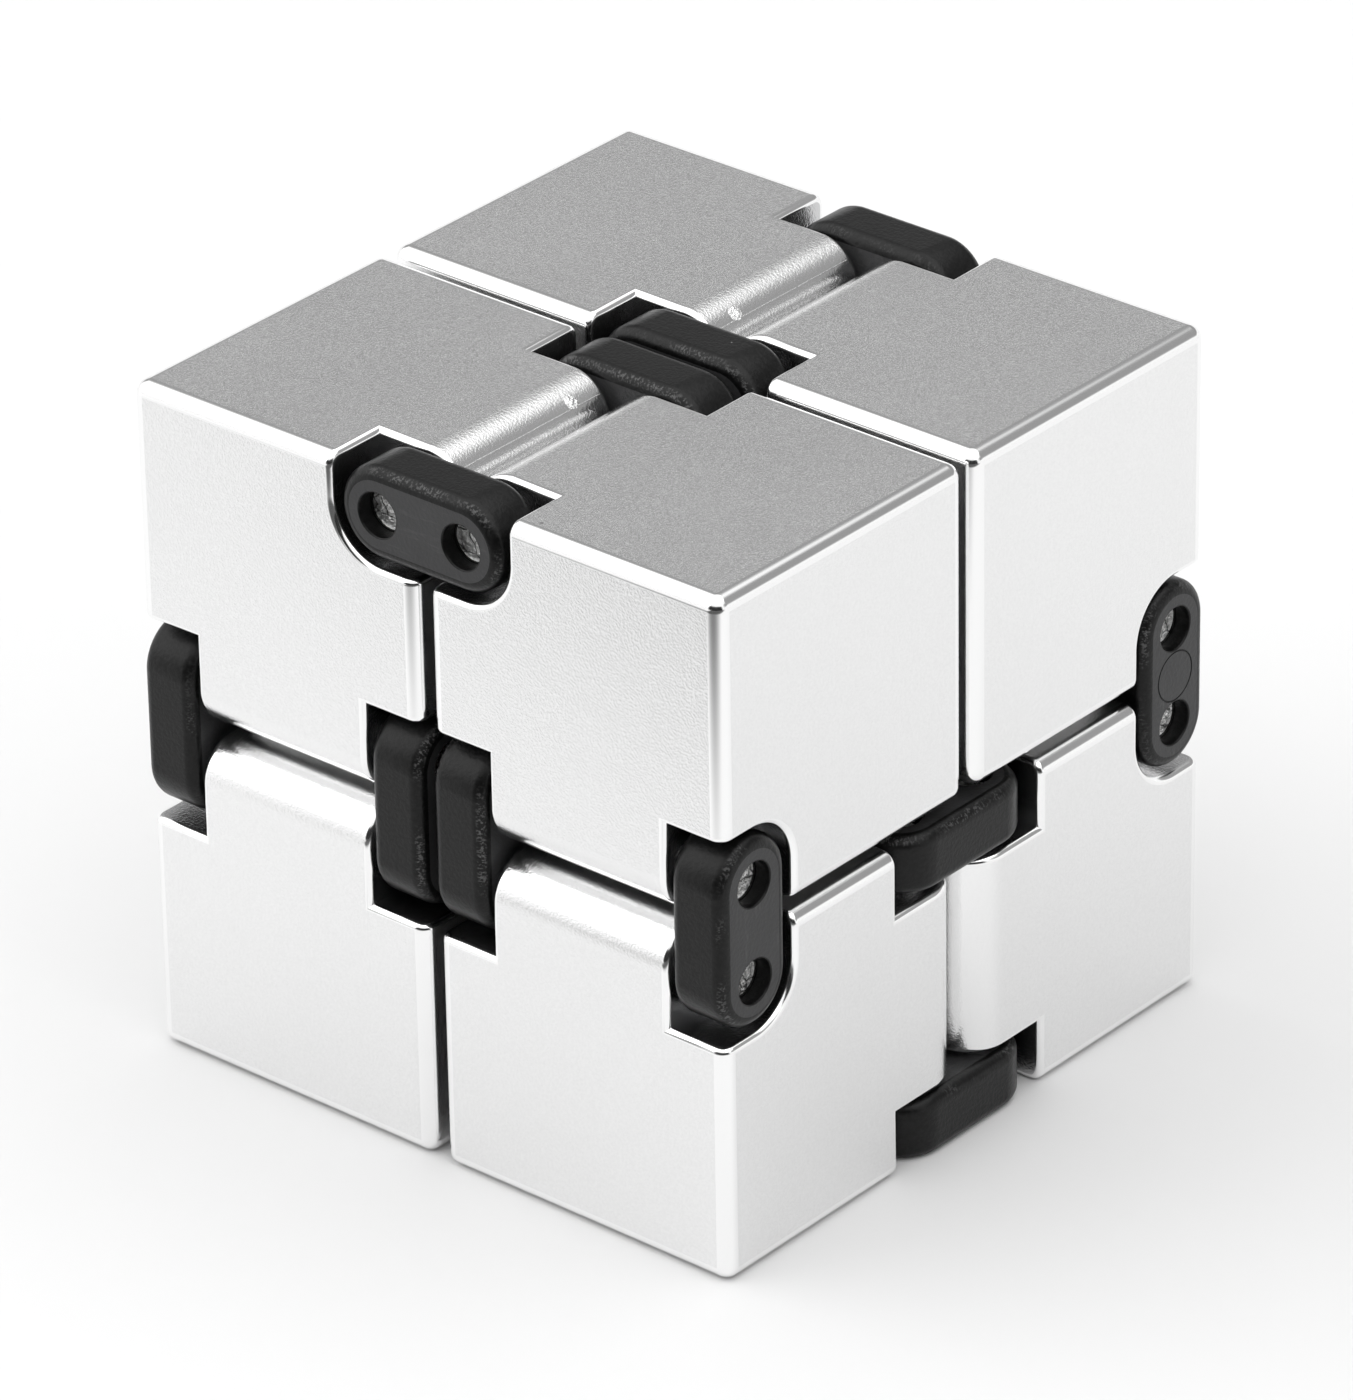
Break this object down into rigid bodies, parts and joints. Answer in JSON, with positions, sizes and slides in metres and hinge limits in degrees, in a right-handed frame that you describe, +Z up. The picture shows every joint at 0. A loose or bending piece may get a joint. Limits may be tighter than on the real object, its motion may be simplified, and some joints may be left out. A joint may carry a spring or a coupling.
{
  "type": "folding fidget cube",
  "caption": "Desk fidget toy: hollow metal blocks in a closed ring, joined by double-pin hinges with black links, that folds without end between cubes and slabs.",
  "frame": {"origin": "middle of the closed cube's base, on the surface it rests on", "axes": "+Z up, +X towards the right-hand face, +Y towards the rear face"},
  "size_m": [0.0404, 0.0404, 0.0402],
  "materials": {
    "satin_metal": "satin plated, with bright polished edges",
    "cover_metal": "satin plated",
    "black_plastic": "moulded, semi-matt",
    "pin_steel": "drawn rod with sheared ends"
  },
  "bodies": {
    "upper_front_left_block": {"upper_front_left_shell": "satin_metal", "upper_front_left_cover": "cover_metal"},
    "upper_front_right_block": {"upper_front_right_shell": "satin_metal", "upper_front_right_cover": "cover_metal"},
    "upper_rear_left_block": {"upper_rear_left_shell": "satin_metal", "upper_rear_left_cover": "cover_metal"},
    "upper_rear_right_block": {"upper_rear_right_shell": "satin_metal", "upper_rear_right_cover": "cover_metal"},
    "lower_front_left_block": {"lower_front_left_shell": "satin_metal", "lower_front_left_cover": "cover_metal"},
    "lower_front_right_block": {"lower_front_right_shell": "satin_metal", "lower_front_right_cover": "cover_metal"},
    "lower_rear_left_block": {"lower_rear_left_shell": "satin_metal", "lower_rear_left_cover": "cover_metal"},
    "lower_rear_right_block": {"lower_rear_right_shell": "satin_metal", "lower_rear_right_cover": "cover_metal"},
    "top_front_hinge": {"top_front_outer_link": "black_plastic", "top_front_inner_link": "black_plastic", "top_front_left_pin": "pin_steel", "top_front_right_pin": "pin_steel"},
    "top_rear_hinge": {"top_rear_outer_link": "black_plastic", "top_rear_inner_link": "black_plastic", "top_rear_left_pin": "pin_steel", "top_rear_right_pin": "pin_steel"},
    "front_left_hinge": {"front_left_outer_link": "black_plastic", "front_left_inner_link": "black_plastic", "front_left_upper_pin": "pin_steel", "front_left_lower_pin": "pin_steel"},
    "front_right_hinge": {"front_right_outer_link": "black_plastic", "front_right_inner_link": "black_plastic", "front_right_upper_pin": "pin_steel", "front_right_lower_pin": "pin_steel"},
    "rear_left_hinge": {"rear_left_outer_link": "black_plastic", "rear_left_inner_link": "black_plastic", "rear_left_upper_pin": "pin_steel", "rear_left_lower_pin": "pin_steel"},
    "rear_right_hinge": {"rear_right_outer_link": "black_plastic", "rear_right_inner_link": "black_plastic", "rear_right_upper_pin": "pin_steel", "rear_right_lower_pin": "pin_steel"},
    "left_side_hinge": {"left_side_outer_link": "black_plastic", "left_side_inner_link": "black_plastic", "left_side_front_pin": "pin_steel", "left_side_rear_pin": "pin_steel"},
    "right_side_hinge": {"right_side_outer_link": "black_plastic", "right_side_inner_link": "black_plastic", "right_side_front_pin": "pin_steel", "right_side_rear_pin": "pin_steel"}
  },
  "joints": [
    {"name": "front_flap_lower_pin", "type": "hinge", "parent": "lower_front_left_block", "child": "front_left_hinge", "pos_m": [-0.01, -0.01755, 0.01715], "axis": [1, 0, 0], "range_deg": [0, 90]},
    {"name": "front_flap_upper_pin", "type": "hinge", "parent": "front_left_hinge", "child": "upper_front_left_block", "pos_m": [-0.01, -0.01755, 0.02285], "axis": [1, 0, 0], "range_deg": [0, 90]},
    {"name": "top_fold_left_pin", "type": "hinge", "parent": "upper_front_left_block", "child": "top_front_hinge", "pos_m": [-0.00285, -0.01, 0.03755], "axis": [0, -1, 0], "range_deg": [0, 90]},
    {"name": "top_fold_right_pin", "type": "hinge", "parent": "top_front_hinge", "child": "upper_front_right_block", "pos_m": [0.00285, -0.01, 0.03755], "axis": [0, -1, 0], "range_deg": [0, 90]},
    {"name": "front_flap_upper_pin_right", "type": "hinge", "parent": "upper_front_right_block", "child": "front_right_hinge", "pos_m": [0.01, -0.01755, 0.02285], "axis": [-1, 0, 0], "range_deg": [0, 90]},
    {"name": "front_flap_lower_pin_right", "type": "hinge", "parent": "front_right_hinge", "child": "lower_front_right_block", "pos_m": [0.01, -0.01755, 0.01715], "axis": [-1, 0, 0], "range_deg": [0, 90]},
    {"name": "side_fold_front_pin_right", "type": "hinge", "parent": "lower_front_right_block", "child": "right_side_hinge", "pos_m": [0.01755, -0.00285, 0.01], "axis": [0, 0, -1], "range_deg": [0, 90]},
    {"name": "side_fold_front_pin", "type": "hinge", "parent": "lower_front_left_block", "child": "left_side_hinge", "pos_m": [-0.01755, -0.00285, 0.01], "axis": [0, 0, 1], "range_deg": [0, 90]},
    {"name": "side_fold_rear_pin", "type": "hinge", "parent": "left_side_hinge", "child": "lower_rear_left_block", "pos_m": [-0.01755, 0.00285, 0.01], "axis": [0, 0, 1], "range_deg": [0, 90]},
    {"name": "rear_flap_lower_pin", "type": "hinge", "parent": "lower_rear_left_block", "child": "rear_left_hinge", "pos_m": [-0.01, 0.01755, 0.01715], "axis": [-1, 0, 0], "range_deg": [0, 90]},
    {"name": "rear_flap_upper_pin", "type": "hinge", "parent": "rear_left_hinge", "child": "upper_rear_left_block", "pos_m": [-0.01, 0.01755, 0.02285], "axis": [-1, 0, 0], "range_deg": [0, 90]},
    {"name": "top_fold_left_pin_rear", "type": "hinge", "parent": "upper_rear_left_block", "child": "top_rear_hinge", "pos_m": [-0.00285, 0.01, 0.03755], "axis": [0, -1, 0], "range_deg": [0, 90]},
    {"name": "top_fold_right_pin_rear", "type": "hinge", "parent": "top_rear_hinge", "child": "upper_rear_right_block", "pos_m": [0.00285, 0.01, 0.03755], "axis": [0, -1, 0], "range_deg": [0, 90]},
    {"name": "rear_flap_upper_pin_right", "type": "hinge", "parent": "upper_rear_right_block", "child": "rear_right_hinge", "pos_m": [0.01, 0.01755, 0.02285], "axis": [1, 0, 0], "range_deg": [0, 90]},
    {"name": "rear_flap_lower_pin_right", "type": "hinge", "parent": "rear_right_hinge", "child": "lower_rear_right_block", "pos_m": [0.01, 0.01755, 0.01715], "axis": [1, 0, 0], "range_deg": [0, 90]}
  ],
  "couplings": [
    {"joint": "front_flap_upper_pin_right", "follows": "front_flap_upper_pin", "ratio": 1},
    {"joint": "front_flap_lower_pin_right", "follows": "front_flap_lower_pin", "ratio": 1},
    {"joint": "side_fold_front_pin_right", "follows": "side_fold_front_pin", "ratio": 1},
    {"joint": "top_fold_left_pin_rear", "follows": "top_fold_left_pin", "ratio": 1},
    {"joint": "top_fold_right_pin_rear", "follows": "top_fold_right_pin", "ratio": 1},
    {"joint": "rear_flap_upper_pin_right", "follows": "rear_flap_upper_pin", "ratio": 1},
    {"joint": "rear_flap_lower_pin_right", "follows": "rear_flap_lower_pin", "ratio": 1}
  ]
}
